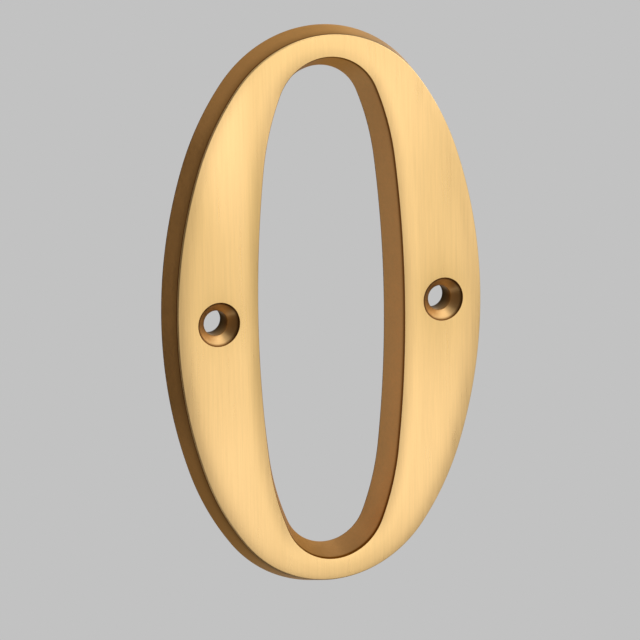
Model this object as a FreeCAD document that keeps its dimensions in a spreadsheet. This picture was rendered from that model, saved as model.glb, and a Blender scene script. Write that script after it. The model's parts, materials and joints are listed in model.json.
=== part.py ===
"""Cast brass door number: the figure nought, one solid casting with two countersunk screw holes.

The figure stands upright, +Z up, and is seen from -Y. Its flat back lies on the door at y = 0, and
the origin is the middle of the two screw holes on that back. All sizes are in millimetres.

The casting is a tall oval ring, bold at the sides and thin at top and bottom. Its outer wall and the
wall of its opening both spread towards the door. The face is flat along the middle of the stroke and
rolls off softly towards both edges, over a wider band at the sides than at the ends. The edges where
the face meets the walls are just broken.

Every outline is an oval of eight arcs that run into each other: a flank arc left and right, an end
arc at top and bottom, and four shoulder arcs between them.
"""

import FreeCAD
import Part
import Sketcher

import math
import os

NODE = "door_number"

# Driving sizes, in millimetres and degrees
SIZES = {
    # The face, out to where its flat middle would meet the outer wall
    "face_height": 99.3,
    "face_width": 59.2,
    "bold_stroke": 15.1,
    "thin_stroke": 3.8,
    "thickness": 5.2,
    # Lean of the two walls from the straight
    "outer_draft": 15.0,
    "opening_draft": 22.0,
    # Outer oval: radius of a shoulder arc, and the turns from the side at which it starts and ends
    "outer_shoulder_radius": 48.0,
    "outer_flank_turn": 19.0,
    "outer_shoulder_turn": 38.0,
    # Oval of the opening, given the same way
    "opening_shoulder_radius": 48.0,
    "opening_flank_turn": 7.0,
    "opening_shoulder_turn": 23.0,
    # Roll-off of the face beside the outer wall: its drop, and its width at a side and at an end
    "outer_roll_drop": 0.35,
    "outer_roll_side": 4.2,
    "outer_roll_end": 2.0,
    # Roll-off of the face beside the opening
    "opening_roll_drop": 0.3,
    "opening_roll_side": 2.4,
    "opening_roll_end": 1.2,
    # Radius of the broken edges
    "edge_radius": 0.3,
    # Screw holes
    "hole_spacing": 44.0,
    "hole_diameter": 4.5,
    "countersink_diameter": 7.9,
    "countersink_angle": 90.0,
}

# Sections of the outer surface and of the opening, from the back to the flat of the face. Each gives
# its level in front of the back, and how far it lies outside the nominal oval at a side and an end.
# Halfway along a roll-off, a parabola has made all but a quarter of its rise.
SECTIONS = {
    "outer_back": (
        "0",
        "thickness * tan(outer_draft * 1 deg)",
        "thickness * tan(outer_draft * 1 deg)",
    ),
    "outer_edge": (
        "thickness - outer_roll_drop",
        "outer_roll_drop * tan(outer_draft * 1 deg)",
        "outer_roll_drop * tan(outer_draft * 1 deg)",
    ),
    "outer_midway": (
        "thickness - outer_roll_drop / 4",
        "(outer_edge_side - outer_roll_side) / 2",
        "(outer_edge_end - outer_roll_end) / 2",
    ),
    "outer_flat": ("thickness", "-outer_roll_side", "-outer_roll_end"),
    "opening_back": (
        "0",
        "-thickness * tan(opening_draft * 1 deg)",
        "-thickness * tan(opening_draft * 1 deg)",
    ),
    "opening_edge": (
        "thickness - opening_roll_drop",
        "-opening_roll_drop * tan(opening_draft * 1 deg)",
        "-opening_roll_drop * tan(opening_draft * 1 deg)",
    ),
    "opening_midway": (
        "thickness - opening_roll_drop / 4",
        "(opening_edge_side + opening_roll_side) / 2",
        "(opening_edge_end + opening_roll_end) / 2",
    ),
    "opening_flat": ("thickness", "opening_roll_side", "opening_roll_end"),
}

# Half sizes of the two nominal ovals
HALF_SIZES = {
    "outer": ("face_width / 2", "face_height / 2"),
    "opening": ("face_width / 2 - bold_stroke", "face_height / 2 - thin_stroke"),
}

FULL_TURN = 360.0
HALF_TURN = 180.0

# How a sketch numbers the points of a curve, and its own two axes. Its origin is the start of the
# axis that runs across.
START, END, CENTRE = range(1, 4)
ACROSS_AXIS, UP_AXIS = range(-1, -3, -1)

# How near an edge lies to a level to count as being on it
NEARNESS = 0.001


class SizeSheet:
    """The spreadsheet of sizes, which names each cell after what it holds."""

    def __init__(self, doc):
        self.sheet = doc.addObject("Spreadsheet::Sheet", "Sizes")
        self.row = 0

    def add(self, name, content):
        """Put a number or a formula in the next row under the given name."""
        self.row += 1
        self.sheet.set(f"A{self.row}", name.replace("_", " "))
        self.sheet.set(f"B{self.row}", content)
        self.sheet.setAlias(f"B{self.row}", name)

    def value(self, name):
        """The number that a cell holds."""
        return float(self.sheet.get(name))


def add_section_sizes(sizes, name):
    """Work out the level, half sizes and radii of one section.

    An arc of radius R that turns from a to b adds R (cos a - cos b) to the half width and
    R (sin b - sin a) to the half height. The shoulder arc is given, so the flank and end radii follow
    from the two half sizes.
    """
    oval = name.split("_")[0]
    half_width, half_height = HALF_SIZES[oval]
    level, side, end = SECTIONS[name]
    flank_cos, flank_sin = (f"{form}({oval}_flank_turn * 1 deg)" for form in ("cos", "sin"))
    shoulder_cos, shoulder_sin = (f"{form}({oval}_shoulder_turn * 1 deg)" for form in ("cos", "sin"))

    sizes.add(f"{name}_level", f"={level}")
    sizes.add(f"{name}_side", f"={side}")
    sizes.add(f"{name}_end", f"={end}")
    sizes.add(f"{name}_half_width", f"={half_width} + {name}_side")
    sizes.add(f"{name}_half_height", f"={half_height} + {name}_end")
    sizes.add(f"{name}_shoulder_radius", f"={oval}_shoulder_radius + ({name}_side + {name}_end) / 2")
    sizes.add(
        f"{name}_across",
        f"={name}_half_width - {name}_shoulder_radius * ({flank_cos} - {shoulder_cos})",
    )
    sizes.add(
        f"{name}_along",
        f"={name}_half_height - {name}_shoulder_radius * ({shoulder_sin} - {flank_sin})",
    )
    sizes.add(
        f"{name}_spread",
        f"={flank_sin} * {shoulder_cos} - (1 - {flank_cos}) * (1 - {shoulder_sin})",
    )
    sizes.add(
        f"{name}_flank_radius",
        f"=({name}_along * {shoulder_cos} - {name}_across * (1 - {shoulder_sin})) / {name}_spread",
    )
    sizes.add(
        f"{name}_end_radius",
        f"=({name}_across * {flank_sin} - {name}_along * (1 - {flank_cos})) / {name}_spread",
    )


def new_sketch(body, name, level):
    """A sketch parallel to the door, with its plane at the given level in front of the back."""
    sketch = body.newObject("Sketcher::SketchObject", name)
    door_plane = next(item for item in body.Origin.OriginFeatures if item.Role == "XZ_Plane")
    sketch.AttachmentSupport = [(door_plane, "")]
    sketch.MapMode = "FlatFace"
    sketch.setExpression("AttachmentOffset.Base.z", level)
    return sketch


def bind(sketch, name, constraint, expression):
    """Add a dimension to a sketch and tie it to the sheet."""
    index = sketch.addConstraint(constraint)
    sketch.renameConstraint(index, name)
    sketch.setExpression(f"Constraints.{name}", expression)


def arc(centre_x, centre_y, radius, start, end):
    """A circular arc between two turns in degrees, counted from the right-hand side."""
    circle = Part.Circle(FreeCAD.Vector(centre_x, centre_y, 0), FreeCAD.Vector(0, 0, 1), radius)
    return Part.ArcOfCircle(circle, math.radians(start), math.radians(end))


def oval_sketch(body, sizes, name):
    """Draw one section as a closed loop of eight arcs, each tangent to the next."""
    oval = name.split("_")[0]
    half_width = sizes.value(f"{name}_half_width")
    half_height = sizes.value(f"{name}_half_height")
    flank = sizes.value(f"{name}_flank_radius")
    end = sizes.value(f"{name}_end_radius")
    shoulder = sizes.value(f"{name}_shoulder_radius")
    flank_turn = sizes.value(f"{oval}_flank_turn")
    shoulder_turn = sizes.value(f"{oval}_shoulder_turn")

    flank_x = half_width - flank
    end_y = half_height - end
    shoulder_x = flank_x + (flank - shoulder) * math.cos(math.radians(flank_turn))
    shoulder_y = (flank - shoulder) * math.sin(math.radians(flank_turn))

    sketch = new_sketch(body, name, f"Sizes.{name}_level")
    arcs = [
        arc(flank_x, 0, flank, -flank_turn, flank_turn),
        arc(shoulder_x, shoulder_y, shoulder, flank_turn, shoulder_turn),
        arc(0, end_y, end, shoulder_turn, HALF_TURN - shoulder_turn),
        arc(-shoulder_x, shoulder_y, shoulder, HALF_TURN - shoulder_turn, HALF_TURN - flank_turn),
        arc(-flank_x, 0, flank, HALF_TURN - flank_turn, HALF_TURN + flank_turn),
        arc(-shoulder_x, -shoulder_y, shoulder, HALF_TURN + flank_turn, HALF_TURN + shoulder_turn),
        arc(0, -end_y, end, HALF_TURN + shoulder_turn, FULL_TURN - shoulder_turn),
        arc(shoulder_x, -shoulder_y, shoulder, FULL_TURN - shoulder_turn, FULL_TURN - flank_turn),
    ]
    sketch.addGeometry(arcs, False)
    right, upper_right, top, upper_left, left, lower_left, bottom, lower_right = range(len(arcs))

    for index in range(len(arcs)):
        following = (index + 1) % len(arcs)
        sketch.addConstraint(Sketcher.Constraint("Tangent", index, END, following, START))

    sketch.addConstraint([
        Sketcher.Constraint("PointOnObject", right, CENTRE, ACROSS_AXIS),
        Sketcher.Constraint("PointOnObject", top, CENTRE, UP_AXIS),
        Sketcher.Constraint("Symmetric", right, CENTRE, left, CENTRE, ACROSS_AXIS, START),
        Sketcher.Constraint("Symmetric", top, CENTRE, bottom, CENTRE, ACROSS_AXIS, START),
        Sketcher.Constraint("Equal", right, left),
        Sketcher.Constraint("Equal", top, bottom),
        Sketcher.Constraint("Equal", upper_right, upper_left),
        Sketcher.Constraint("Equal", upper_right, lower_left),
        Sketcher.Constraint("Equal", upper_right, lower_right),
    ])
    bind(
        sketch,
        "flank_centre",
        Sketcher.Constraint("DistanceX", right, CENTRE, left, CENTRE, -2 * flank_x),
        f"2 * (Sizes.{name}_flank_radius - Sizes.{name}_half_width)",
    )
    bind(
        sketch,
        "end_centre",
        Sketcher.Constraint("DistanceY", bottom, CENTRE, top, CENTRE, 2 * end_y),
        f"2 * (Sizes.{name}_half_height - Sizes.{name}_end_radius)",
    )
    for index, part_name, radius in (
        (right, "flank_radius", flank),
        (top, "end_radius", end),
        (upper_right, "shoulder_radius", shoulder),
    ):
        bind(sketch, part_name, Sketcher.Constraint("Radius", index, radius), f"Sizes.{name}_{part_name}")
    return sketch


def loft(body, kind, name, sketches, ruled):
    """Join a row of sections, by straight lines or by one smooth curve."""
    feature = body.newObject(f"PartDesign::{kind}Loft", name)
    feature.Profile = sketches[0]
    feature.Sections = sketches[1:]
    feature.Ruled = ruled
    return feature


def edges_at(shape, level):
    """Names of the edges that lie wholly at a level in front of the back."""
    names = []
    for number, edge in enumerate(shape.Edges, start=1):
        middle = (edge.FirstParameter + edge.LastParameter) / 2
        places = (edge.FirstParameter, middle, edge.LastParameter)
        if all(abs(edge.valueAt(place).y + level) < NEARNESS for place in places):
            names.append(f"Edge{number}")
    return names


def break_edges(body, sizes, name, level):
    """Round the edge where the face's roll-off meets a wall."""
    base = body.Tip
    feature = body.newObject("PartDesign::Fillet", name)
    feature.Base = (base, edges_at(base.Shape, sizes.value(level)))
    feature.setExpression("Radius", "Sizes.edge_radius")
    return feature


def hole_sketch(body, sizes):
    """Two circles side by side on the flat of the face, level with the middle of the figure."""
    sketch = new_sketch(body, "screw_hole_places", "Sizes.thickness")
    half_spacing = sizes.value("hole_spacing") / 2
    radius = sizes.value("hole_diameter") / 2
    upright = FreeCAD.Vector(0, 0, 1)
    for place in (-half_spacing, half_spacing):
        sketch.addGeometry(Part.Circle(FreeCAD.Vector(place, 0, 0), upright, radius), False)
    left, right = range(2)
    sketch.addConstraint(Sketcher.Constraint("Equal", left, right))
    sketch.addConstraint(Sketcher.Constraint("PointOnObject", left, CENTRE, ACROSS_AXIS))
    sketch.addConstraint(
        Sketcher.Constraint("Symmetric", left, CENTRE, right, CENTRE, ACROSS_AXIS, START)
    )
    bind(
        sketch,
        "spacing",
        Sketcher.Constraint("DistanceX", left, CENTRE, right, CENTRE, 2 * half_spacing),
        "Sizes.hole_spacing",
    )
    bind(sketch, "radius", Sketcher.Constraint("Radius", left, radius), "Sizes.hole_diameter / 2")
    return sketch


def screw_holes(body, sizes):
    """Two clearance holes right through, each with a countersink that opens at the face."""
    places = hole_sketch(body, sizes)
    body.Document.recompute()
    holes = body.newObject("PartDesign::Hole", "screw_holes")
    holes.Profile = places
    holes.Threaded = False
    holes.DepthType = "ThroughAll"
    holes.HoleCutType = "Countersink"
    holes.HoleCutCustomValues = True
    holes.setExpression("Diameter", "Sizes.hole_diameter")
    holes.setExpression("HoleCutDiameter", "Sizes.countersink_diameter")
    holes.setExpression("HoleCutCountersinkAngle", "Sizes.countersink_angle")
    return holes


def checked_volume(doc, body, what):
    """Recompute, make sure that nothing failed, and return the body's volume."""
    doc.recompute()
    for item in doc.Objects:
        if "Invalid" in item.State or "Error" in item.State:
            raise RuntimeError(f"{item.Label} failed after {what}: {item.State}")
    if body.Shape.isNull() or not body.Shape.isValid():
        raise RuntimeError(f"the casting is not a valid shape after {what}")
    return body.Shape.Volume


def build():
    """Build the casting, and check that each step adds or removes metal as it should."""
    doc = FreeCAD.newDocument("DoorNumber")
    sizes = SizeSheet(doc)
    for name, value in SIZES.items():
        sizes.add(name, str(value))
    for name in SECTIONS:
        add_section_sizes(sizes, name)
    doc.recompute()

    body = doc.addObject("PartDesign::Body", "DoorNumberBody")
    body.Label = NODE
    sections = {name: oval_sketch(body, sizes, name) for name in SECTIONS}

    # The oval slab: its wall, then the outer roll-off on top of it
    loft(body, "Additive", "outer_wall", [sections["outer_back"], sections["outer_edge"]], True)
    wall_volume = checked_volume(doc, body, "the outer wall")
    roll = [sections["outer_edge"], sections["outer_midway"], sections["outer_flat"]]
    loft(body, "Additive", "outer_roll_off", roll, False)
    slab_volume = checked_volume(doc, body, "the outer roll-off")

    # The opening: its wall, then the roll-off that opens its mouth
    loft(body, "Subtractive", "opening_wall", [sections["opening_back"], sections["opening_edge"]], True)
    pierced_volume = checked_volume(doc, body, "the opening")
    mouth = [sections["opening_edge"], sections["opening_midway"], sections["opening_flat"]]
    loft(body, "Subtractive", "opening_roll_off", mouth, False)
    ring_volume = checked_volume(doc, body, "the opening's roll-off")

    # The broken edges
    break_edges(body, sizes, "outer_broken_edge", "outer_edge_level")
    checked_volume(doc, body, "the outer broken edge")
    break_edges(body, sizes, "opening_broken_edge", "opening_edge_level")
    broken_volume = checked_volume(doc, body, "the opening's broken edge")

    screw_holes(body, sizes)
    finished_volume = checked_volume(doc, body, "the screw holes")
    if not wall_volume < slab_volume:
        raise RuntimeError("the outer roll-off added nothing")
    if not slab_volume > pierced_volume > ring_volume > broken_volume > finished_volume > 0:
        raise RuntimeError("a cut took nothing away")
    if len(body.Shape.Solids) != 1:
        raise RuntimeError(f"the casting should be one solid, not {len(body.Shape.Solids)}")
    return body


def main():
    """Build the door number and write its solid."""
    body = build()
    os.makedirs("parts", exist_ok=True)
    body.Shape.exportStep(f"parts/{body.Label}.step")
    box = body.Shape.BoundBox
    print(f"{body.Label}: {box.XLength:.2f} x {box.YLength:.2f} x {box.ZLength:.2f} mm, ", end="")
    print(f"volume {body.Shape.Volume:.1f} mm3, {len(body.Shape.Faces)} faces")


main()
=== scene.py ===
"""A cast brass door number, the figure nought, dressed and lit for its picture.

The casting is one closed surface. A section of its stroke (back, wall, broken edge, roll-off, flat
and so on round to the back again) is carried round the figure, from station to station. Where a
screw hole breaks into that grid, a block of it is left out, and rings of faces lead from the block's
border to the hole, down its countersink and bore, and out to the border of the same block on the
back.

The figure stands upright, +Z up, faces -Y and has its flat back at y = 0. Everything is in metres.
"""

import json
import logging
import math
from dataclasses import dataclass, field, replace
from enum import IntEnum
from typing import Any

import bpy
import numpy as np
from mathutils import Matrix, Vector
from numpy.typing import NDArray


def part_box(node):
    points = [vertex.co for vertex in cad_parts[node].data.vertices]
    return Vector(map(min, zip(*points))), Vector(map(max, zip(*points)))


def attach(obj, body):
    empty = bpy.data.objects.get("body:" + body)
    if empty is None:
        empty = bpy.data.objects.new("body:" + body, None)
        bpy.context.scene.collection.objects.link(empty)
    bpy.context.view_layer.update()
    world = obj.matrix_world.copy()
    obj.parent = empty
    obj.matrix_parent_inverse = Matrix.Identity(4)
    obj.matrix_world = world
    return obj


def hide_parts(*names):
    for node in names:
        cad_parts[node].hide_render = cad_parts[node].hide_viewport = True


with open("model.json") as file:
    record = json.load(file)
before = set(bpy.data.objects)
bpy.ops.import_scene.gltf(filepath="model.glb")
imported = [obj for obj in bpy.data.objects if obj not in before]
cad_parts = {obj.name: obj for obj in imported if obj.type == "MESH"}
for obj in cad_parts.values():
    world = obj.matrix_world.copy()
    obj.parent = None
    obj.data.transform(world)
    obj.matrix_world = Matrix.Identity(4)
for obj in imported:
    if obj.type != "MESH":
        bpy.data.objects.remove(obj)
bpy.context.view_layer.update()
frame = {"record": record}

Floats = NDArray[np.float64]
Whole = NDArray[np.int64]
Colour = tuple[float, float, float]

LOG = logging.getLogger("door_number")

NODE = "door_number"
BODY = "root"
SCREW_MOUNT = "screw_holes"
EDGE_DISTANCE = "edge_distance"
MM = 0.001
PICTURE_SIDE = 640


class Surface(IntEnum):
    """The finishes of the casting, in the order of its material slots."""

    FACE = 0
    OUTER_WALL = 1
    OPENING_WALL = 2
    COUNTERSINK = 3
    BORE = 4
    BACK = 5


@dataclass(frozen=True)
class Oval:
    """A closed outline of eight arcs: two flanks, two ends and the four shoulders between them.

    Attributes:
        half_width: Distance from the middle to a flank.
        half_height: Distance from the middle to an end.
        shoulder_radius: Radius of a shoulder arc.
        flank_turn: Turn of the outward normal, from the side, where a flank meets a shoulder.
        shoulder_turn: The turn where that shoulder meets an end.
    """

    half_width: float
    half_height: float
    shoulder_radius: float
    flank_turn: float
    shoulder_turn: float

    def grown(self, side: float, end: float) -> "Oval":
        """The oval pushed out by one distance at its flanks and another at its ends.

        Args:
            side: Growth of the half width.
            end: Growth of the half height.

        Returns:
            The larger oval, whose arcs turn through the same angles.
        """
        return replace(
            self,
            half_width=self.half_width + side,
            half_height=self.half_height + end,
            shoulder_radius=self.shoulder_radius + (side + end) / 2,
        )

    def radii(self) -> tuple[float, float]:
        """Radii of the flank and end arcs.

        An arc of radius R that turns from a to b adds R (cos a - cos b) to the half width and
        R (sin b - sin a) to the half height, which gives two equations for the two radii.

        Returns:
            The flank radius and the end radius.
        """
        first, second = self.flank_turn, self.shoulder_turn
        across = self.half_width - self.shoulder_radius * (math.cos(first) - math.cos(second))
        along = self.half_height - self.shoulder_radius * (math.sin(second) - math.sin(first))
        flank_fall, end_fall = 1 - math.cos(first), 1 - math.sin(second)
        spread = math.sin(first) * math.cos(second) - flank_fall * end_fall
        flank = (along * math.cos(second) - across * end_fall) / spread
        end = (across * math.sin(first) - along * flank_fall) / spread
        return flank, end

    def turns(self, shares: Floats) -> Floats:
        """Turn of the normal at each share of the way round, measured along the outline.

        Along an arc, length grows evenly with the turn, so the turn is read off a line through the
        ends of the eight arcs.

        Args:
            shares: Shares of the whole outline, from 0 to 1, counted from the right-hand flank.

        Returns:
            The turns, in radians.
        """
        flank, end = self.radii()
        steps = np.diff([0.0, self.flank_turn, self.shoulder_turn, math.pi / 2])
        lengths = steps * [flank, self.shoulder_radius, end]
        all_steps = np.concatenate([steps, steps[::-1]] * 2)
        all_lengths = np.concatenate([lengths, lengths[::-1]] * 2)
        knots = np.concatenate([[0.0], np.cumsum(all_steps)])
        places = np.concatenate([[0.0], np.cumsum(all_lengths)])
        return np.interp(shares, places / places[-1], knots)

    def arcs(self) -> Floats:
        """The flank, shoulder and end arcs of the first quarter, one in each row.

        Returns:
            The x and z of each arc's centre, and its radius.
        """
        flank, end = self.radii()
        shoulder = self.shoulder_radius
        flank_x = self.half_width - flank
        return np.array([
            [flank_x, 0.0, flank],
            [
                flank_x + (flank - shoulder) * math.cos(self.flank_turn),
                (flank - shoulder) * math.sin(self.flank_turn),
                shoulder,
            ],
            [0.0, self.half_height - end, end],
        ])

    def outline(self, turns: Floats, level: float) -> Floats:
        """Points of the outline at the given turns.

        In one quarter of the oval, a point is the centre of its arc plus the radius along the
        normal. The other quarters are its mirror images.

        Args:
            turns: Turns of the outward normal, in radians.
            level: Distance of the outline in front of the door.

        Returns:
            One point (x, y, z) for each turn.
        """
        cosine, sine = np.cos(turns), np.sin(turns)
        folded = np.arctan2(np.abs(sine), np.abs(cosine))
        arc = np.searchsorted([self.flank_turn, self.shoulder_turn], folded)
        centre_x, centre_z, radius = self.arcs()[arc].T
        x = np.copysign(centre_x + radius * np.cos(folded), cosine)
        z = np.copysign(centre_z + radius * np.sin(folded), sine)
        return np.stack([x, np.full_like(x, -level), z], axis=-1)

    def nearest(self, points: Floats) -> tuple[Floats, Floats]:
        """Find the outline from points given in plan.

        In the first quarter, a point belongs to the flank if it is seen from the flank's centre
        within the flank's turn, to the end if it is seen from the end's centre beyond the
        shoulder's turn, and to the shoulder between them. Its distance from the outline is its
        distance from that centre less the radius.

        Args:
            points: Points whose x and z are set, with any leading shape.

        Returns:
            The turn of the normal through each point, and how far outside the outline it lies.
        """
        centre_x, centre_z, radius = self.arcs().T
        x = np.abs(points[..., 0, None]) - centre_x
        z = np.abs(points[..., 2, None]) - centre_z
        turn, outside = np.arctan2(z, x), np.hypot(x, z) - radius
        belongs = [turn[..., 0] < self.flank_turn, turn[..., 2] > self.shoulder_turn]
        return tuple(
            np.select(belongs, [value[..., 0], value[..., 2]], value[..., 1])
            for value in (turn, outside)
        )


@dataclass(frozen=True)
class RollOff:
    """How the face falls towards one of its edges, further at the flanks than at the ends.

    Attributes:
        side_drop: How far it has fallen at the edge, at a flank.
        end_drop: The same at an end.
        side_width: Width of the fall at a flank.
        end_width: Its width at an end.
        power: How late it falls. With s the share of the way to the edge, it falls as s^power.
    """

    side_drop: float
    end_drop: float
    side_width: float
    end_width: float
    power: float

    def drop(self, turn: Floats) -> Floats:
        """How far the face has fallen at its edge: from side to end with the square of the sine."""
        return self.side_drop + (self.end_drop - self.side_drop) * np.sin(turn) ** 2

    def width(self, turn: Floats) -> Floats:
        """Width of the fall, which changes in the same way."""
        return self.side_width + (self.end_width - self.side_width) * np.sin(turn) ** 2

    def steepness(self, turn: Floats) -> Floats:
        """Slope of the face at its edge."""
        return self.drop(turn) * self.power / self.width(turn)


@dataclass(frozen=True)
class CastingSizes:
    """Sizes of the casting. The first five are read from the frame."""

    back_half_width: float
    back_half_height: float
    thickness: float
    hole_spacing: float
    hole_radius: float
    bold_stroke: float = 15.1 * MM
    thin_stroke: float = 3.8 * MM
    outer_draft: float = math.radians(15)
    opening_draft: float = math.radians(22)
    outer_shoulder_radius: float = 48 * MM
    outer_flank_turn: float = math.radians(19)
    outer_shoulder_turn: float = math.radians(38)
    opening_shoulder_radius: float = 48 * MM
    opening_flank_turn: float = math.radians(7)
    opening_shoulder_turn: float = math.radians(23)
    outer_roll: RollOff = RollOff(0.35 * MM, 0.2 * MM, 7.5 * MM, 5.0 * MM, 3.9)
    opening_roll: RollOff = RollOff(0.3 * MM, 0.15 * MM, 3.4 * MM, 1.9 * MM, 2.0)
    outer_edge_radius: float = 0.3 * MM
    opening_edge_radius: float = 0.12 * MM
    arris_radius: float = 0.12 * MM
    countersink_radius: float = 3.95 * MM
    rim_radius: float = 0.1 * MM
    throat_radius: float = 0.2 * MM
    # Around a hole, buffing has pulled the face in a little
    dish_depth: float = 0.05 * MM
    dish_reach: float = 1.3 * MM

    @classmethod
    def from_frame(cls) -> "CastingSizes":
        """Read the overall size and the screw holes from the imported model.

        Returns:
            The sizes of the casting.
        """
        low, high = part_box(NODE)
        mounts = frame["record"]["mounts"]
        holes = next(mount["dims"] for mount in mounts if mount["name"] == SCREW_MOUNT)
        return cls(
            back_half_width=high.x,
            back_half_height=high.z,
            thickness=-low.y,
            hole_spacing=holes["spacing_x_mm"] * MM,
            hole_radius=holes["hole_r_mm"] * MM,
        )

    def outer_oval(self) -> Oval:
        """The nominal outer oval, where the wall would meet the flat of the face.

        Returns:
            The oval.
        """
        spread = self.thickness * math.tan(self.outer_draft)
        return Oval(
            self.back_half_width - spread,
            self.back_half_height - spread,
            self.outer_shoulder_radius,
            self.outer_flank_turn,
            self.outer_shoulder_turn,
        )

    def opening_oval(self) -> Oval:
        """The nominal oval of the opening, where its wall would meet the flat of the face.

        Returns:
            The oval, one stroke inside the outer one.
        """
        outer = self.outer_oval()
        return Oval(
            outer.half_width - self.bold_stroke,
            outer.half_height - self.thin_stroke,
            self.opening_shoulder_radius,
            self.opening_flank_turn,
            self.opening_shoulder_turn,
        )


@dataclass(frozen=True)
class Flank:
    """One side of the stroke: its wall and the roll-off of the face beside it.

    Attributes:
        oval: The nominal oval of this side.
        draft: Lean of the wall. The wall spreads towards the door.
        roll: The roll-off.
        edge_radius: Radius of the broken edge between the two.
        outward: 1 for the outer side and -1 for the opening.
    """

    oval: Oval
    draft: float
    roll: RollOff
    edge_radius: float
    outward: int

    def foot(self, thickness: float) -> Oval:
        """The oval in which the wall meets the back."""
        growth = self.outward * thickness * math.tan(self.draft)
        return self.oval.grown(growth, growth)

    def edge(self, turns: Floats, level: float) -> Floats:
        """Points in which the wall would meet the face, without their broken edge.

        The wall leans, so the further the face has fallen, the further out they meet.

        Args:
            turns: Turns of the outward normal.
            level: Distance of the flat of the face in front of the door.

        Returns:
            One point for each turn.
        """
        drop = self.roll.drop(turns)
        spread = self.outward * math.tan(self.draft) * drop
        moved = np.stack([spread * np.cos(turns), drop, spread * np.sin(turns)], axis=-1)
        return self.oval.outline(turns, level) + moved

    def fall(self, points: Floats) -> Floats:
        """How far the face has fallen towards this side.

        Args:
            points: Points whose x and z are set, with any leading shape.

        Returns:
            The fall at each point: the full drop times s^power, with s the share of the way.
        """
        turn, outside = self.oval.nearest(points)
        drop = self.roll.drop(turn)
        past_edge = self.outward * outside - math.tan(self.draft) * drop
        return drop * np.clip(1 + past_edge / self.roll.width(turn), 0.0, 1.0) ** self.roll.power


@dataclass(frozen=True)
class Fineness:
    """How many steps the surface takes in each stretch, and how they crowd towards its ends."""

    stations: int = 600
    wall: int = 10
    corner: int = 6
    face: int = 52
    face_margin: int = 12
    arris: int = 3
    back_margin: int = 6
    block_half_stations: int = 12
    face_rings: int = 8
    rim: int = 4
    cone: int = 8
    bore: int = 8
    back_rings: int = 8
    wall_crowding: float = 1.6
    face_crowding: float = 1.4
    ring_crowding: float = 1.3
    hole_crowding: float = 1.2

    @property
    def block_rows(self) -> int:
        """Steps across the block that makes room for a hole."""
        return self.face - 2 * self.face_margin


@dataclass
class Grid:
    """Rows of points across the stroke, each row with one point for every station.

    Attributes:
        rows: Arrays of shape (rows, stations, 3), in order.
        surfaces: The finish of the faces after each row.
    """

    rows: list[Floats] = field(default_factory=list)
    surfaces: list[Surface] = field(default_factory=list)

    def add(self, points: Floats, surface: Surface) -> int:
        """Add a stretch of rows.

        Args:
            points: Its rows, of shape (rows, stations, 3). Its last row is left out, because the
                next stretch starts with it.
            surface: The finish of its faces.

        Returns:
            The number of its first row.
        """
        first = len(self.surfaces)
        self.rows.append(points[:-1])
        self.surfaces.extend([surface] * (len(points) - 1))
        return first

    def points(self) -> Floats:
        """All rows in one array."""
        return np.concatenate(self.rows)


def stretch(start: Floats, end: Floats, steps: int, crowding: float = 1.0) -> Floats:
    """Rows of points in even steps from one row to another.

    Args:
        start: The first row.
        end: The last row.
        steps: Number of steps.
        crowding: Above 1, rows crowd towards both ends: the share s moves to
            s^c / (s^c + (1 - s)^c).

    Returns:
        Rows from start to end, with both.
    """
    share = np.linspace(0.0, 1.0, steps + 1)
    share = share**crowding / (share**crowding + (1 - share) ** crowding)
    return start + (end - start) * share[:, None, None]


def rounded(before: Floats, corner: Floats, after: Floats, steps: int) -> Floats:
    """Rows of points round a corner.

    The curve is a conic that leaves the first line and joins the second without a kink. With both
    ends as far from the corner and the weight set to the cosine of half the turn, it is an arc.

    Args:
        before: Where the arc starts, on the line into the corner.
        corner: The sharp corner.
        after: Where the arc ends, on the line out of it.
        steps: Number of steps.

    Returns:
        Rows from before to after, with both.
    """
    into, out = unit(corner - before), unit(after - corner)
    turn = np.arccos(np.clip(np.sum(into * out, axis=-1), -1.0, 1.0))
    weight = np.cos(turn / 2)[None, :, None]
    share = np.linspace(0.0, 1.0, steps + 1)[:, None, None]
    parts = (1 - share) ** 2, 2 * weight * share * (1 - share), share**2
    return (parts[0] * before + parts[1] * corner + parts[2] * after) / sum(parts)


def unit(vectors: Floats) -> Floats:
    """The vectors, each scaled to a length of one."""
    return vectors / np.linalg.norm(vectors, axis=-1, keepdims=True)


def setback(into: Floats, out: Floats, radius: float) -> Floats:
    """How far from a corner an arc of a radius starts: radius times tan of half the turn."""
    turn = np.arccos(np.clip(np.sum(unit(into) * unit(out), axis=-1), -1.0, 1.0))
    return (radius * np.tan(turn / 2))[:, None]


def lengths(rows: Floats) -> Floats:
    """Distance of each row from the first, along the surface, station by station."""
    steps = np.linalg.norm(np.diff(rows, axis=0), axis=-1)
    return np.concatenate([np.zeros((1, rows.shape[1])), np.cumsum(steps, axis=0)])


def add_object(name: str, data: bpy.types.ID) -> bpy.types.Object:
    """Make an object of a mesh, lamp or camera, and put it into the scene.

    Args:
        name: Its name.
        data: What it shows.

    Returns:
        The object.
    """
    made = bpy.data.objects.new(name, data)
    bpy.context.scene.collection.objects.link(made)
    return made


@dataclass(frozen=True)
class Skin:
    """The finished surface of the casting.

    Attributes:
        points: Its points.
        quads: The four corners of each face.
        finish: The finish of each face.
        from_edge: Distance of each point from the nearest edge of the face or of a countersink,
            along the surface.
    """

    points: Floats
    quads: Whole
    finish: Whole
    from_edge: Floats


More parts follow.
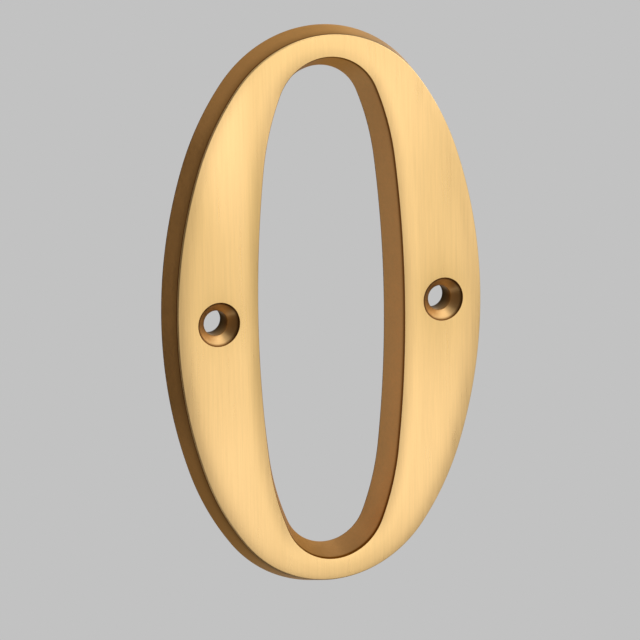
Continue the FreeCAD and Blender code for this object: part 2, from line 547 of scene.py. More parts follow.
@dataclass
class Casting:
    """The whole casting: a ring of rows and stations with two screw holes through it."""

    sizes: CastingSizes
    fineness: Fineness = Fineness()

    def __post_init__(self) -> None:
        """Set out the two sides of the stroke and the turn of each station on both."""
        sizes = self.sizes
        self.outer = Flank(
            sizes.outer_oval(), sizes.outer_draft, sizes.outer_roll,
            sizes.outer_edge_radius, 1,
        )
        self.opening = Flank(
            sizes.opening_oval(), sizes.opening_draft, sizes.opening_roll,
            sizes.opening_edge_radius, -1,
        )
        share = np.arange(self.fineness.stations) / self.fineness.stations
        self.turns = {1: self.outer.oval.turns(share), -1: self.opening.oval.turns(share)}

    def side_rows(self, side: Flank, inward: Floats) -> dict[str, Floats]:
        """Stretches of rows from the back of one side up its wall to the face.

        Args:
            side: The side of the stroke.
            inward: Direction into the stroke at each station, level with the door.

        Returns:
            The stretches arris, wall and corner, in that order. The last row of each is the first
            of the next.
        """
        sizes, fine, turns = self.sizes, self.fineness, self.turns[side.outward]
        foot = side.foot(sizes.thickness).outline(turns, 0.0)
        top = side.edge(turns, sizes.thickness)
        up = unit(top - foot)
        rise = np.zeros_like(top)
        rise[:, 1] = -side.roll.steepness(turns)

        back = setback(up, inward + rise, side.edge_radius)
        low = setback(-inward, up, sizes.arris_radius)
        wall_foot, wall_top = foot + up * low, top - up * back
        return {
            "arris": rounded(foot + inward * low, foot, wall_foot, fine.arris),
            "wall": stretch(wall_foot, wall_top, fine.wall, fine.wall_crowding),
            "corner": rounded(wall_top, top, self.on_face(top + inward * back), fine.corner),
        }

    def grid(self) -> tuple[Grid, Whole, Whole, tuple[int, int]]:
        """The rows all the way round the section.

        Returns:
            The grid, the rows of the front block from outside to inside, those of the back block,
            and the two rows from which the painted shade on the walls starts.
        """
        fine = self.fineness
        inward = self.opening.edge(self.turns[-1], 0.0) - self.outer.edge(self.turns[1], 0.0)
        inward[:, 1] = 0.0
        inward = unit(inward)
        outer, opening = self.side_rows(self.outer, inward), self.side_rows(self.opening, -inward)
        face = self.on_face(
            stretch(outer["corner"][-1], opening["corner"][-1], fine.face, fine.face_crowding)
        )
        grid = Grid()
        for name in ("arris", "wall"):
            grid.add(outer[name], Surface.OUTER_WALL)
        outer_line = grid.add(outer["corner"], Surface.FACE)
        face_start = grid.add(face, Surface.FACE)
        opening_line = grid.add(opening["corner"][::-1], Surface.OPENING_WALL)
        for name in ("wall", "arris"):
            grid.add(opening[name][::-1], Surface.OPENING_WALL)

        inner_row, outer_row = opening["arris"][0], outer["arris"][0]
        width = outer_row[0, 0] - inner_row[0, 0]
        block_ends = face[[-1 - fine.face_margin, fine.face_margin], 0, 0]
        low, high = (block_ends - inner_row[0, 0]) / width
        across = outer_row - inner_row
        first, second = inner_row + across * low, inner_row + across * high
        grid.add(stretch(inner_row, first, fine.back_margin), Surface.BACK)
        back_start = grid.add(stretch(first, second, fine.block_rows), Surface.BACK)
        grid.add(stretch(second, outer_row, fine.back_margin), Surface.BACK)

        steps = np.arange(fine.block_rows + 1)
        front_rows = face_start + fine.face_margin + steps
        back_rows = back_start + steps[::-1]
        return grid, front_rows, back_rows, (outer_line, opening_line)

    def dish(self, points: Floats) -> Floats:
        """How far buffing has pulled the face in: it fades with the distance from a countersink.

        Args:
            points: Points of the face, with any leading shape.

        Returns:
            The depth at each point: the full depth times e to the minus distance over reach.
        """
        sizes = self.sizes
        from_hole = np.hypot(np.abs(points[..., 0]) - sizes.hole_spacing / 2, points[..., 2])
        past_rim = np.maximum(from_hole - sizes.countersink_radius, 0.0)
        return sizes.dish_depth * np.exp(-past_rim / sizes.dish_reach)

    def on_face(self, points: Floats) -> Floats:
        """Lay points on the face: below its flat by the two roll-offs and the dish.

        Args:
            points: Points whose x and z are set, with any leading shape.

        Returns:
            The same points with the y of the face.
        """
        laid = points.copy()
        laid[..., 1] = self.outer.fall(points) + self.opening.fall(points) + self.dish(points)
        laid[..., 1] -= self.sizes.thickness
        return laid

    def hole_rings(self, front: Floats, back: Floats, centre_x: float) -> tuple[Floats, Whole]:
        """Rings of points that lead from the front block, through a hole, to the back block.

        Args:
            front: Border of the block in the face, as a closed loop of points.
            back: Border of the block in the back, with as many points.
            centre_x: Place of the hole's axis.

        Returns:
            The rings between the two borders, and the finish of the faces before each ring, with
            one more entry for the faces after the last.
        """
        sizes, fine = self.sizes, self.fineness
        angle = np.arctan2(front[:, 2], front[:, 0] - centre_x)

        def circle(radius: float, depth: float) -> Floats:
            """A ring of the hole, at a depth below the flat of the face."""
            y = np.full_like(angle, depth - sizes.thickness)
            return np.stack([centre_x + radius * np.cos(angle), y, radius * np.sin(angle)], axis=-1)

        # The cone stands at 45 degrees, so an arc into it starts tan(22.5 degrees) radii away
        corner_back, diagonal = math.tan(math.pi / 8), math.sqrt(2)
        rim_back = sizes.rim_radius * corner_back
        low = sizes.arris_radius
        cone_depth = sizes.countersink_radius - sizes.hole_radius
        slant = rim_back / diagonal

        lip = circle(sizes.countersink_radius + rim_back, 0.0)
        patch = self.on_face(stretch(front, lip, fine.face_rings, fine.ring_crowding)[1:])

        rim = rounded(
            lip,
            circle(sizes.countersink_radius, 0.0),
            circle(sizes.countersink_radius - slant, slant),
            fine.rim,
        )[1:]
        throat_back = sizes.throat_radius * corner_back
        step = throat_back / diagonal
        cone_foot = circle(sizes.hole_radius + step, cone_depth - step)
        cone = stretch(rim[-1], cone_foot, fine.cone, fine.hole_crowding)[1:]
        throat = rounded(
            cone_foot,
            circle(sizes.hole_radius, cone_depth),
            circle(sizes.hole_radius, cone_depth + throat_back),
            fine.arris,
        )[1:]
        bore_foot = circle(sizes.hole_radius, sizes.thickness - low)
        drilled = stretch(throat[-1], bore_foot, fine.bore, fine.hole_crowding)[1:]
        mouth = rounded(
            drilled[-1],
            circle(sizes.hole_radius, sizes.thickness),
            circle(sizes.hole_radius + low, sizes.thickness),
            fine.arris,
        )[1:]
        behind = stretch(mouth[-1], back, fine.back_rings)[1:-1]

        # The countersink starts from the dished face, and is true again at its foot
        sag = patch[-1][:, 1] + sizes.thickness
        rim[:, :, 1] += sag
        cone[:, :, 1] += sag * np.linspace(1.0, 0.0, fine.cone + 1)[1:, None]

        rings = np.concatenate([patch, rim, cone, throat, drilled, mouth, behind])
        finish = [Surface.FACE] * len(patch)
        finish += [Surface.COUNTERSINK] * (len(rim) + len(cone))
        finish += [Surface.BORE] * (len(throat) + len(drilled) + len(mouth))
        finish += [Surface.BACK] * (len(behind) + 1)
        return rings, np.array(finish)

    def border(self, rows: Whole, stations: Whole) -> Whole:
        """Numbers of the grid's points round a block.

        Args:
            rows: The block's rows.
            stations: Its stations.

        Returns:
            The numbers, once round.
        """
        base = rows * self.fineness.stations
        return np.concatenate([
            base[0] + stations[:-1],
            base[:-1] + stations[-1],
            base[-1] + stations[:0:-1],
            base[:0:-1] + stations[0],
        ])

    def surface(self) -> Skin:
        """All points and faces of the casting.

        Returns:
            The finished surface, without the points that the holes have replaced.
        """
        fine = self.fineness
        count = fine.stations
        grid, front_rows, back_rows, line_rows = self.grid()
        points = grid.points()
        row_count = len(points)
        along = lengths(points)
        from_edge = np.minimum(*(np.abs(along - along[row]) for row in line_rows))
        points = points.reshape(-1, 3)

        row, station = np.meshgrid(np.arange(row_count), np.arange(count), indexing="ij")
        next_row, next_station = (row + 1) % row_count, (station + 1) % count
        quads = np.stack(
            [
                row * count + station,
                row * count + next_station,
                next_row * count + next_station,
                next_row * count + station,
            ],
            axis=-1,
        )
        finish = np.repeat(np.array(grid.surfaces)[:, None], count, axis=1)

        keep = np.ones((row_count, count), dtype=bool)
        loose_points, loose_quads, loose_finish = [points], [], []
        loose_distances = [from_edge.ravel()]
        total = len(points)
        half = fine.block_half_stations
        for middle, sign in ((0, 1), (count // 2, -1)):
            stations = (middle + np.arange(-half, half + 1)) % count
            for rows in (front_rows, back_rows):
                keep[np.ix_(np.sort(rows)[:-1], stations[:-1])] = False
            front, back = self.border(front_rows, stations), self.border(back_rows, stations)
            centre_x = sign * self.sizes.hole_spacing / 2
            rings, ring_finish = self.hole_rings(points[front], points[back], centre_x)
            numbers = np.arange(rings.shape[0] * rings.shape[1]).reshape(rings.shape[:2]) + total
            numbers = np.concatenate([front[None], numbers, back[None]])
            ahead = np.roll(numbers, -1, axis=1)
            corners = [numbers[:-1], ahead[:-1], ahead[1:], numbers[1:]]
            loose_quads.append(np.stack(corners, axis=-1).reshape(-1, 4))
            loose_finish.append(np.repeat(ring_finish, len(front)))
            loose_points.append(rings.reshape(-1, 3))
            along = lengths(rings)
            loose_distances.append(np.abs(along - along[fine.face_rings - 1]).ravel())
            total += rings.shape[0] * rings.shape[1]

        all_quads = np.concatenate([quads[keep], *loose_quads])
        all_finish = np.concatenate([finish[keep], *loose_finish])
        used, numbers = np.unique(all_quads, return_inverse=True)
        return Skin(
            np.concatenate(loose_points)[used],
            numbers.reshape(all_quads.shape),
            all_finish,
            np.concatenate(loose_distances)[used],
        )

    def build(self) -> bpy.types.Object:
        """Make the casting's mesh and its object, with smooth faces and no materials yet.

        Returns:
            The object.
        """
        skin = self.surface()
        mesh = bpy.data.meshes.new("numeral_casting")
        mesh.from_pydata(skin.points.tolist(), [], skin.quads.tolist())
        mesh.polygons.foreach_set("material_index", skin.finish.astype(np.int32))
        mesh.polygons.foreach_set("use_smooth", np.ones(len(skin.quads), dtype=bool))
        distances = mesh.attributes.new(EDGE_DISTANCE, "FLOAT", "POINT")
        distances.data.foreach_set("value", skin.from_edge.astype(np.float32))
        mesh.update()
        repaired = mesh.validate()
        LOG.info(
            "numeral_casting: %d points, %d faces, repaired: %s",
            len(skin.points), len(skin.quads), repaired,
        )
        return add_object("numeral_casting", mesh)

    def dress(self, casting: bpy.types.Object) -> None:
        """Give the casting one material for each surface, in the order of its slots."""
        for surface in Surface:
            casting.data.materials.append(FINISHES[surface].material())


class Wiring:
    """Adds nodes to one tree and joins them up."""

    def __init__(self, tree: bpy.types.NodeTree) -> None:
        """Work on this tree."""
        self.tree = tree

    def node(self, kind: str, inputs: dict[str | int, Any], **settings: Any) -> bpy.types.Node:
        """Add a node.

        Args:
            kind: Its type.
            inputs: What goes into its inputs: an output of another node, or a value.
            **settings: Its own settings.

        Returns:
            The node.
        """
        node = self.tree.nodes.new(kind)
        for name, value in settings.items():
            setattr(node, name, value)
        for name, value in inputs.items():
            if isinstance(value, bpy.types.NodeSocket):
                self.tree.links.new(value, node.inputs[name])
            else:
                node.inputs[name].default_value = value
        return node

    def maths(self, operation: str, *values: Any) -> bpy.types.NodeSocket:
        """Add a sum of one or more values and give its result."""
        return self.node("ShaderNodeMath", dict(enumerate(values)), operation=operation).outputs[0]


class Effect:
    """A node group that puts out one value, which changes over the surface."""

    name: str
    inputs: dict[str, str]
    output: str

    def tree(self) -> bpy.types.NodeTree:
        """The group, made when it is first asked for.

        Returns:
            Its node tree.
        """
        if self.name in bpy.data.node_groups:
            return bpy.data.node_groups[self.name]
        tree = bpy.data.node_groups.new(self.name, "ShaderNodeTree")
        for name, kind in self.inputs.items():
            tree.interface.new_socket(name, in_out="INPUT", socket_type=kind)
        tree.interface.new_socket(self.output, in_out="OUTPUT", socket_type="NodeSocketFloat")
        wiring = Wiring(tree)
        ports = wiring.node("NodeGroupInput", {}).outputs
        wiring.node("NodeGroupOutput", {self.output: self.value(wiring, ports)})
        return tree

    def value(self, wiring: Wiring, ports: Any) -> bpy.types.NodeSocket:
        """Build the group's inside.

        Args:
            wiring: Adds nodes to the group.
            ports: The group's inputs.

        Returns:
            The value that the group puts out.
        """
        raise NotImplementedError

    def place(self, wiring: Wiring, **inputs: Any) -> bpy.types.NodeSocket:
        """Put the group into a material.

        Args:
            wiring: Adds nodes to the material.
            **inputs: The group's values there, or outputs of other nodes.

        Returns:
            What the group puts out.
        """
        node = wiring.node("ShaderNodeGroup", {}, node_tree=self.tree())
        for name, value in inputs.items():
            if isinstance(value, bpy.types.NodeSocket):
                wiring.tree.links.new(value, node.inputs[name])
            else:
                node.inputs[name].default_value = value
        return node.outputs[0]


class Grain(Effect):
    """Fine marks in the metal, from -1 to 1: smooth noise, drawn out along one direction."""

    name = "metal_grain"
    inputs = {
        "Place": "NodeSocketVector",
        "Per Metre": "NodeSocketVector",
        "Detail": "NodeSocketFloat",
    }
    output = "Height"

    def value(self, wiring: Wiring, ports: Any) -> bpy.types.NodeSocket:
        """Noise on the place times the number of marks to a metre, spread to -1 to 1.

        Args:
            wiring: Adds nodes to the group.
            ports: The group's inputs.

        Returns:
            The height of the marks.
        """
        scaled = wiring.node(
            "ShaderNodeVectorMath", {0: ports["Place"], 1: ports["Per Metre"]}, operation="MULTIPLY"
        )
        noise = wiring.node(
            "ShaderNodeTexNoise",
            {
                "Vector": scaled.outputs[0],
                "Scale": 1.0,
                "Detail": ports["Detail"],
                "Roughness": 0.6,
            },
        )
        return wiring.maths("MULTIPLY_ADD", noise.outputs[0], 4.0, -2.0)


class PaintedShadeLineMask(Effect):
    """A line of painted shade along an edge: its strength times e to the minus ((distance - at) /
    width)^2.
    """

    name = "painted_shade_line"
    inputs = {
        "Distance": "NodeSocketFloat",
        "At": "NodeSocketFloat",
        "Width": "NodeSocketFloat",
        "Strength": "NodeSocketFloat",
    }
    output = "Mask"

    def value(self, wiring: Wiring, ports: Any) -> bpy.types.NodeSocket:
        """Build the formula of the line.

        Args:
            wiring: Adds nodes to the group.
            ports: The group's inputs.

        Returns:
            How dark the line is.
        """
        away = wiring.maths("SUBTRACT", ports["Distance"], ports["At"])
        share = wiring.maths("DIVIDE", away, ports["Width"])
        power = wiring.maths("MULTIPLY", wiring.maths("MULTIPLY", share, share), -1.0)
        return wiring.maths("MULTIPLY", wiring.maths("EXPONENT", power), ports["Strength"])


class PaintedShadePatchMask(Effect):
    """A soft spot of painted shade without a border: its strength times e to the minus scaled
    distance squared.
    """

    name = "painted_shade_patch"
    inputs = {
        "Place": "NodeSocketVector",
        "Centre": "NodeSocketVector",
        "Per Metre": "NodeSocketVector",
        "Strength": "NodeSocketFloat",
    }
    output = "Mask"

    def value(self, wiring: Wiring, ports: Any) -> bpy.types.NodeSocket:
        """Build the formula of the patch, whose distance is scaled along x, y and z.

        Args:
            wiring: Adds nodes to the group.
            ports: The group's inputs.

        Returns:
            How strong the painted shade of the patch is.
        """
        away = wiring.node(
            "ShaderNodeVectorMath", {0: ports["Place"], 1: ports["Centre"]}, operation="SUBTRACT"
        ).outputs[0]
        scaled = wiring.node(
            "ShaderNodeVectorMath", {0: away, 1: ports["Per Metre"]}, operation="MULTIPLY"
        ).outputs[0]
        square = wiring.node(
            "ShaderNodeVectorMath", {0: scaled, 1: scaled}, operation="DOT_PRODUCT"
        ).outputs["Value"]
        power = wiring.maths("MULTIPLY", square, -1.0)
        return wiring.maths("MULTIPLY", wiring.maths("EXPONENT", power), ports["Strength"])


@dataclass(frozen=True)
class Marks:
    """Fine marks of one kind of working.

    Attributes:
        per_metre: Marks to a metre along x, y and z.
        shade: How much they lighten and darken the metal.
        roughness: How much they change its roughness.
        depth: Their depth.
        detail: How many finer steps of marks they carry.
    """

    per_metre: tuple[float, float, float]
    shade: float
    roughness: float = 0.02
    depth: float = 0.0
    detail: float = 2.0


@dataclass(frozen=True)
class PaintedShadeLine:
    """A line of painted shade that follows the edge of the face or of a countersink.

    Attributes:
        width: Its width.
        strength: How dark it is in its middle, from 0 to 1.
        away: Distance of its middle from the edge.
    """

    width: float
    strength: float
    away: float = 0.0


@dataclass(frozen=True)
class PaintedShadePatch:
    """A soft patch of painted shade, in which the metal is darker.

    Attributes:
        x: Place of its middle to the right.
        z: Its height.
        across: Its reach to either side.
        up: Its reach up and down.
        strength: How strong its painted shade is in its middle, from 0 to 1.
    """

    x: float
    z: float
    across: float
    up: float
    strength: float


@dataclass(frozen=True)
class BrassFinish:
    """How one surface of the brass looks.

    Attributes:
        name: Name of the material.
        colour: Colour of the metal.
        painted_shade_colour: The colour of its painted shade.
        roughness: Its roughness.
        marks: The fine marks on it.
        painted_shade_lines: Each a line of painted shade that follows its edge.
        painted_shade_patches: Each a soft spot of painted shade, in which it is darker.
        glancing: Tint of what it mirrors at a glancing angle.
    """

    name: str
    colour: Colour
    painted_shade_colour: Colour
    roughness: float
    marks: tuple[Marks, ...]
    painted_shade_lines: tuple[PaintedShadeLine, ...] = ()
    painted_shade_patches: tuple[PaintedShadePatch, ...] = ()
    glancing: Colour = (1.0, 1.0, 1.0)

    def place(self, wiring: Wiring) -> bpy.types.NodeSocket:
        """Where a point lies, as the marks see it."""
        return wiring.node("ShaderNodeTexCoord", {}).outputs["Object"]

    def distance(self, wiring: Wiring) -> bpy.types.NodeSocket:
        """How far a point lies from the edge, along the surface."""
        return wiring.node("ShaderNodeAttribute", {}, attribute_name=EDGE_DISTANCE).outputs["Fac"]

    def painted_shade_share(self, wiring: Wiring) -> bpy.types.NodeSocket | float:
        """How much painted shade the surface gets: its darkest line at each place, plus every patch.

        Args:
            wiring: Adds nodes to the material.

        Returns:
            The share of the painted shade colour, from 0 to 1.
        """
        total: Any = 0.0
        for line in self.painted_shade_lines:
            mask = PaintedShadeLineMask().place(
                wiring,
                Distance=self.distance(wiring),
                At=line.away,
                Width=line.width,
                Strength=line.strength,
            )
            total = wiring.maths("MAXIMUM", total, mask)
        for patch in self.painted_shade_patches:
            mask = PaintedShadePatchMask().place(
                wiring,
                Place=self.place(wiring),
                Centre=(patch.x, 0.0, patch.z),
                Strength=patch.strength,
                **{"Per Metre": (1 / patch.across, 0.0, 1 / patch.up)},
            )
            total = wiring.maths("ADD", total, mask)
        return total

    def material(self) -> bpy.types.Material:
        """Make the material.

        Returns:
            The material.
        """
        material = bpy.data.materials.new(self.name)
        material.use_nodes = True
        wiring = Wiring(material.node_tree)
        shader = material.node_tree.nodes["Principled BSDF"]
        # Painted shade: the metal's colour is mixed towards its painted shade colour
        mixed = wiring.node(
            "ShaderNodeMix",
            {"Factor": self.painted_shade_share(wiring), "A": (*self.colour, 1.0), "B": (*self.painted_shade_colour, 1.0)},
            data_type="RGBA",
        )
        place = self.place(wiring)
        shade: Any = 1.0
        rough: Any = self.roughness
        height: Any = 0.0
        for marks in self.marks:
            grain = Grain().place(
                wiring, Place=place, **{"Per Metre": marks.per_metre, "Detail": marks.detail}
            )
            shade = wiring.maths("MULTIPLY_ADD", grain, marks.shade, shade)
            rough = wiring.maths("MULTIPLY_ADD", grain, marks.roughness, rough)
            height = wiring.maths("MULTIPLY_ADD", grain, marks.depth, height)
        shaded = wiring.node(
            "ShaderNodeVectorMath", {0: mixed.outputs["Result"], 1: shade}, operation="MULTIPLY"
        )
        wiring.tree.links.new(shaded.outputs[0], shader.inputs["Base Color"])
        wiring.tree.links.new(rough, shader.inputs["Roughness"])
        if any(marks.depth for marks in self.marks):
            bump = wiring.node("ShaderNodeBump", {"Height": height, "Distance": 1.0})
            wiring.tree.links.new(bump.outputs["Normal"], shader.inputs["Normal"])
        shader.inputs["Metallic"].default_value = 1.0
        shader.inputs["Specular Tint"].default_value = (*self.glancing, 1.0)
        return material


@dataclass(frozen=True)
class TurnedFinish(BrassFinish):
    """A finish left by a turning tool, whose marks are rings at one distance from the rim."""

    def place(self, wiring: Wiring) -> bpy.types.NodeSocket:
        """The distance from the rim alone, so that marks run round the hole."""
        return wiring.node("ShaderNodeCombineXYZ", {"X": self.distance(wiring)}).outputs[0]


LINISHED_MARKS = (
    Marks((2600.0, 2600.0, 90.0), 0.06),
    Marks((700.0, 700.0, 25.0), 0.025),
    Marks((160.0, 160.0, 60.0), 0.02),
)
CAST_MARKS = (
    Marks((1500.0, 1500.0, 1500.0), 0.05, 0.04, 0.006 * MM),
    Marks((220.0, 220.0, 220.0), 0.05),
)

FINISHES: dict[Surface, BrassFinish] = {
    # Painted shade on the face: each soft spot below darkens the metal towards its painted shade
    # colour.
    Surface.FACE: BrassFinish(
        "satin_brass_face", (0.862, 0.575, 0.254), (0.40, 0.262, 0.080), 0.3, LINISHED_MARKS,
        painted_shade_patches=(
            PaintedShadePatch(-24 * MM, 9 * MM, 12 * MM, 13 * MM, 0.37),
            PaintedShadePatch(-23 * MM, -12 * MM, 12 * MM, 10 * MM, 0.17),
            PaintedShadePatch(-26 * MM, 21 * MM, 4 * MM, 7 * MM, 0.2),
            PaintedShadePatch(-22 * MM, 0 * MM, 5 * MM, 5 * MM, 0.26),
            PaintedShadePatch(21 * MM, 0 * MM, 9 * MM, 15 * MM, 0.38),
            PaintedShadePatch(22 * MM, 24 * MM, 12 * MM, 14 * MM, 0.27),
            PaintedShadePatch(22 * MM, 1 * MM, 5 * MM, 5 * MM, 0.18),
            PaintedShadePatch(-6 * MM, 47 * MM, 16 * MM, 9 * MM, 0.32),
            PaintedShadePatch(4 * MM, -48 * MM, 20 * MM, 7 * MM, 0.24),
            PaintedShadePatch(-14 * MM, 20 * MM, 2.5 * MM, 20 * MM, 0.4),
            PaintedShadePatch(-14.5 * MM, -12 * MM, 2 * MM, 18 * MM, 0.26),
            PaintedShadePatch(-11 * MM, -33 * MM, 2 * MM, 8 * MM, 0.18),
        ),
    ),
    # Painted shade on the outer wall: a narrow and a wider dark line along its top edge, and three
    # soft spots. Its colour is also set darker than the opening wall's, though both are the same
    # cast brass: painted shade as well.
    Surface.OUTER_WALL: BrassFinish(
        "cast_brass_outer_wall", (0.631, 0.322, 0.105), (0.13, 0.042, 0.006), 0.38, CAST_MARKS,
        painted_shade_lines=(PaintedShadeLine(1.3 * MM, 0.38), PaintedShadeLine(0.45 * MM, 0.9)),
        painted_shade_patches=(
            PaintedShadePatch(-30 * MM, -36 * MM, 40 * MM, 15 * MM, 0.42),
            PaintedShadePatch(-22 * MM, 46 * MM, 12 * MM, 10 * MM, 0.28),
            PaintedShadePatch(13 * MM, 48 * MM, 8 * MM, 6 * MM, 0.4),
        ),
        glancing=(0.95, 0.82, 0.58),
    ),
    # Painted shade on the opening's wall: a dark line along its broken edge at the face, and three
    # soft spots.
    Surface.OPENING_WALL: BrassFinish(
        "cast_brass_opening_wall", (0.745, 0.408, 0.155), (0.17, 0.055, 0.004), 0.38, CAST_MARKS,
        painted_shade_lines=(PaintedShadeLine(0.34 * MM, 0.86, 0.22 * MM),),
        painted_shade_patches=(
            PaintedShadePatch(0.0, -44 * MM, 20 * MM, 24 * MM, 0.2),
            PaintedShadePatch(6 * MM, -49 * MM, 9 * MM, 7 * MM, 0.45),
            PaintedShadePatch(-8 * MM, 43 * MM, 7 * MM, 4 * MM, 0.85),
        ),
        glancing=(0.72, 0.52, 0.33),
    ),
    # Painted shade round the countersink: a dark line just inside its rim and a fainter, wider one
    # at the rim.
    Surface.COUNTERSINK: TurnedFinish(
        "turned_brass_countersink", (0.86, 0.54, 0.225), (0.12, 0.04, 0.004), 0.34,
        (Marks((5000.0, 1.0, 1.0), 0.06),),
        painted_shade_lines=(PaintedShadeLine(0.45 * MM, 0.97, 0.12 * MM), PaintedShadeLine(1.2 * MM, 0.25)),
    ),
    # Painted shade deep in the bore: a broad dark line that darkens it towards its far end.
    Surface.BORE: TurnedFinish(
        "drilled_brass_bore", (0.80, 0.49, 0.19), (0.05, 0.025, 0.006), 0.6,
        (Marks((3000.0, 1.0, 1.0), 0.06),),
        painted_shade_lines=(PaintedShadeLine(3.0 * MM, 0.9, 6.0 * MM),),
    ),
    Surface.BACK: BrassFinish(
        "ground_brass_back", (0.70, 0.46, 0.20), (0.3, 0.19, 0.08), 0.4,
        (Marks((60.0, 1200.0, 1400.0), 0.06, 0.05, 0.004 * MM),),
    ),
}


def towards(azimuth: float, elevation: float) -> Vector:
    """A direction away from the casting.

    Args:
        azimuth: Its turn about the upright axis, in degrees, 0 in front and 90 to the right.
        elevation: Its height above level, in degrees.

    Returns:
        The direction (sin a cos e, -cos a cos e, sin e), of length one.
    """
    turn, rise = math.radians(azimuth), math.radians(elevation)
    level = math.cos(rise)
    return Vector((math.sin(turn) * level, -math.cos(turn) * level, math.sin(rise)))


def matt(name: str, colour: Colour, roughness: float, gloss: float) -> bpy.types.Material:
    """A plain matt material for what stands round the casting.

    Args:
        name: Its name.
        colour: Its colour.
        roughness: Its roughness.
        gloss: How strongly it mirrors, where 0.5 is usual.

    Returns:
        The material.
    """
    material = bpy.data.materials.new(name)
    material.use_nodes = True
    inputs = material.node_tree.nodes["Principled BSDF"].inputs
    inputs["Base Color"].default_value = (*colour, 1.0)
    inputs["Roughness"].default_value = roughness
    inputs["Specular IOR Level"].default_value = gloss
    return material


@dataclass(frozen=True)
class PictureCamera:
    """The camera, as fitted to the outlines in the photograph.

    Attributes:
        azimuth: Turn of the camera about the upright axis, in degrees, from straight in front.
        elevation: Its height above level, in degrees.
        roll: Its roll, in degrees.
        distance: Distance from the middle of the screw holes.
        scale: Pixels to a metre at that distance.
        right: How far the middle of the holes lies right of the middle of the picture.
        up: How far it lies above the middle of the picture.
    """

    azimuth: float = -24.22
    elevation: float = 12.55
    roll: float = -1.05
    distance: float = 0.618
    scale: float = 5562.0
    right: float = 0.176 * MM
    up: float = 2.442 * MM

    def build(self) -> bpy.types.Object:
        """Make the camera and set it as the scene's.

        Returns:
            The camera.
        """
        back, roll = towards(self.azimuth, self.elevation), math.radians(self.roll)
        level = Vector((0, 0, 1)).cross(back).normalized()
        upright = back.cross(level)
        right = level * math.cos(roll) + upright * math.sin(roll)
        upward = upright * math.cos(roll) - level * math.sin(roll)
        data = bpy.data.cameras.new("picture_camera")
        data.lens = self.scale * self.distance * data.sensor_width / PICTURE_SIDE
        camera = add_object("picture_camera", data)
        place = back * self.distance - right * self.right - upward * self.up
        turned = Matrix((right, upward, back)).transposed().to_4x4()
        camera.matrix_world = Matrix.Translation(place) @ turned
        bpy.context.scene.camera = camera
        return camera


@dataclass(frozen=True)
class Panel:
    """A flat oblong that stands round the casting and faces it.

    Attributes:
        name: Its name.
        azimuth: Its direction from the casting, in degrees, 0 in front and 90 to the right.
        elevation: Its height above level, in degrees.
        distance: Its distance from the casting.
        width: Its width.
        height: Its height.
    """

    name: str
    azimuth: float
    elevation: float
    distance: float
    width: float
    height: float

    def put(self, data: bpy.types.ID) -> bpy.types.Object:
        """Make the panel's object in its place, unseen by the camera itself.

        Args:
            data: The lamp or the mesh that it shows.

        Returns:
            The object.
        """
        away = towards(self.azimuth, self.elevation)
        panel = add_object(self.name, data)
        faced = away.to_track_quat("Z", "Y").to_matrix().to_4x4()
        panel.matrix_world = Matrix.Translation(away * self.distance) @ faced
        panel.visible_camera = False
        return panel


@dataclass(frozen=True)
class SoftLamp(Panel):
    """A large flat lamp.

    Attributes:
        brightness: Brightness of its surface, where 1 shows as white.
    """

    brightness: float

    def build(self) -> bpy.types.Object:
        """Make the lamp. Its power is four times its area times its brightness.

        Returns:
            The lamp.
        """
        data = bpy.data.lights.new(self.name, "AREA")
        data.shape = "RECTANGLE"
        data.size, data.size_y = self.width, self.height
        data.energy = 4 * self.width * self.height * self.brightness
        return self.put(data)


@dataclass(frozen=True)
class DarkCard(Panel):
    """A dark card, which shapes what the casting reflects.

    Attributes:
        shade: Its colour.
    """

    shade: Colour

    def build(self) -> bpy.types.Object:
        """Make the card.

        Returns:
            The card.
        """
        mesh = bpy.data.meshes.new(self.name)
        across, up = self.width / 2, self.height / 2
        corners = [(-across, -up, 0.0), (across, -up, 0.0), (across, up, 0.0), (-across, up, 0.0)]
        mesh.from_pydata(corners, [], [(0, 1, 2, 3)])
        mesh.materials.append(matt(self.name, self.shade, 1.0, 0.0))
        card = self.put(mesh)
        card.visible_diffuse = False
        card.visible_shadow = False
        return card


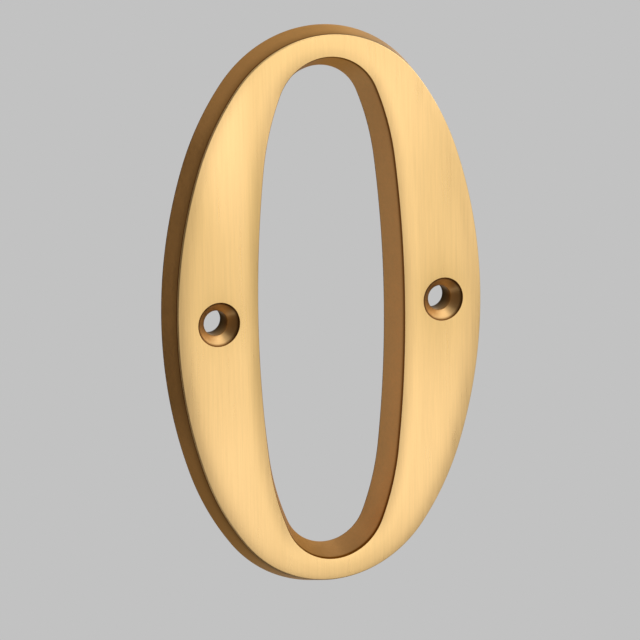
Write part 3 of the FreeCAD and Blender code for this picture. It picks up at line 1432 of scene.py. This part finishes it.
@dataclass(frozen=True)
class Studio:
    """Camera, lamps, floor and surroundings.

    Attributes:
        backdrop: Colour of the surroundings as seen.
        ambient: Brightness of the surroundings as they light the scene.
        floor_level: Height of the floor.
        floor_radius: Its radius.
        floor_sides: Number of its sides.
        floor_colour: Its colour.
    """

    backdrop: Colour = (0.5395, 0.5395, 0.5395)
    ambient: float = 0.5
    floor_level: float = -0.38
    floor_radius: float = 0.6
    floor_sides: int = 96
    floor_colour: Colour = (0.6, 0.6, 0.6)

    def build(self) -> None:
        """Build all of it."""
        PictureCamera().build()
        panels = (
            SoftLamp("key_lamp", 22.9, -2.8, 0.75, 0.284, 0.854, 0.66),
            SoftLamp("front_lamp", 8.9, 17.3, 0.75, 0.351, 0.702, 0.425),
            SoftLamp("side_lamp", 59.6, 11.8, 0.75, 0.718, 0.652, 0.56),
            SoftLamp("back_lamp", 148.6, 8.3, 0.75, 0.193, 0.517, 0.70),
            SoftLamp("top_lamp", 62.0, 62.0, 0.75, 0.8, 0.7, 0.8),
            SoftLamp("rim_lamp", 94.0, 24.0, 0.75, 0.35, 0.4, 1.3),
            DarkCard("back_card", -153.0, -1.5, 0.45, 0.576, 0.53, (0.045, 0.035, 0.025)),
            DarkCard("left_card", -65.5, -8.0, 0.45, 0.55, 1.6, (0.09, 0.06, 0.035)),
            DarkCard("low_card", -60.0, -82.0, 0.3, 0.3, 0.3, (0.09, 0.06, 0.035)),
        )
        for panel in panels:
            panel.build()
        self.build_floor()
        self.build_world()

    def build_floor(self) -> None:
        """A plain pale round floor below the casting."""
        turn = np.linspace(0.0, 2 * math.pi, self.floor_sides + 1)[:-1]
        ring = np.stack([np.cos(turn), np.sin(turn), np.zeros_like(turn)], axis=-1)
        ring *= self.floor_radius
        ring[:, 2] = self.floor_level
        mesh = bpy.data.meshes.new("floor")
        mesh.from_pydata(ring.tolist(), [], [list(range(len(ring)))])
        mesh.materials.append(matt("pale_floor", self.floor_colour, 0.9, 0.5))
        add_object("floor", mesh)

    def build_world(self) -> None:
        """Plain grey surroundings, whose look doesn't depend on how much they light the scene."""
        world = bpy.data.worlds.new("studio")
        bpy.context.scene.world = world
        world.use_nodes = True
        world.node_tree.nodes.clear()
        wiring = Wiring(world.node_tree)
        path = wiring.node("ShaderNodeLightPath", {}).outputs
        seen = wiring.maths("MAXIMUM", path["Is Camera Ray"], path["Is Glossy Ray"])
        seen = wiring.maths("MAXIMUM", seen, path["Is Transmission Ray"])
        lighting = wiring.node(
            "ShaderNodeBackground", {"Color": (1.0, 1.0, 1.0, 1.0), "Strength": self.ambient}
        )
        backdrop = wiring.node("ShaderNodeBackground", {"Color": (*self.backdrop, 1.0)})
        mix = wiring.node(
            "ShaderNodeMixShader", {0: seen, 1: lighting.outputs[0], 2: backdrop.outputs[0]}
        )
        wiring.node("ShaderNodeOutputWorld", {"Surface": mix.outputs[0]})
        bpy.context.scene.view_settings.view_transform = "Standard"


def main() -> None:
    """Build the casting, dress it and set up the studio."""
    logging.basicConfig(level=logging.INFO, format="%(name)s: %(message)s")
    numeral = Casting(CastingSizes.from_frame())
    casting = numeral.build()
    numeral.dress(casting)
    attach(casting, BODY)
    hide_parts(NODE)
    Studio().build()


if __name__ == "__main__":
    main()
